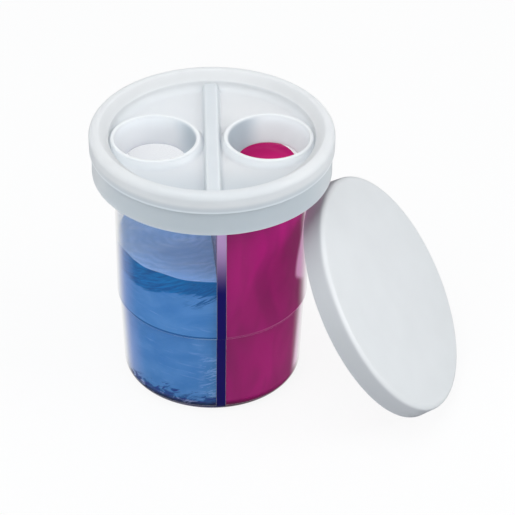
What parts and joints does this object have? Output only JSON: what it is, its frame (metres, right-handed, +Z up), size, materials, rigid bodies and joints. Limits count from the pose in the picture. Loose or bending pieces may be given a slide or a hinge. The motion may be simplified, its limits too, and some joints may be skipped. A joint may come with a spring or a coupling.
{
  "type": "divided paint cup",
  "caption": "Clear tumbler split by a divider for separate paints, with a push-on lid that has a brush funnel over each side and a round cap leaning beside it.",
  "frame": {"origin": "centre of the circle that the cup stands on, at the table", "axes": "+Z up along the cup's centreline; -Y is the front, where the divider's edge faces; +X towards the magenta side and the leaning cap"},
  "size_m": [0.134, 0.1086, 0.1024],
  "materials": {
    "clear_plastic": "polished moulded clear styrene",
    "lid_plastic": "translucent natural polypropylene, satin",
    "cap_plastic": "white polypropylene, satin",
    "blue_paint": "wet tempera paint",
    "magenta_paint": "wet tempera paint"
  },
  "bodies": {
    "cup": {"cup": "clear_plastic", "blue_paint": "blue_paint", "magenta_paint": "magenta_paint"},
    "lid": {"funnel_lid": "lid_plastic"},
    "cap": {"snap_cap": "cap_plastic"}
  },
  "joints": [
    {"name": "lid_lift", "type": "slide", "parent": "cup", "child": "lid", "axis": [0, 0, 1], "range_m": [0, 0.04]},
    {"name": "cap_lift", "type": "slide", "parent": "cup", "child": "cap", "axis": [0.7912, -0.2724, 0.5476], "range_m": [0, 0.07]}
  ]
}
